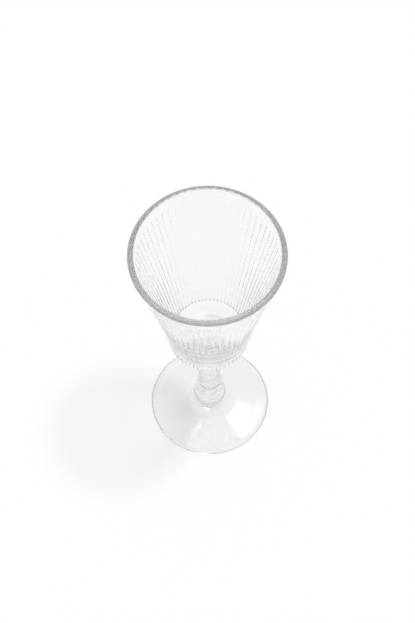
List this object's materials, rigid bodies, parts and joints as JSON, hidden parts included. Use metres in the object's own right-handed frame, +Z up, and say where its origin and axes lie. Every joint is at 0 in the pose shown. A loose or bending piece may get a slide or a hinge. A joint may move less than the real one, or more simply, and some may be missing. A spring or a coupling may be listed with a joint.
{
  "type": "champagne glass",
  "caption": "Clear stemmed drinking glass with a flared, vertically reeded bowl, a faceted stem with a round collar and a flat round foot.",
  "frame": {"origin": "on the table, under the middle of the foot", "axes": "+Z up along the axis of the glass, -Y towards the camera of the picture"},
  "size_m": [0.08, 0.08, 0.177],
  "materials": {
    "glass": "fire-polished, clear and colourless"
  },
  "bodies": {
    "root": {"bowl": "glass", "stem": "glass", "foot": "glass"}
  },
  "joints": []
}
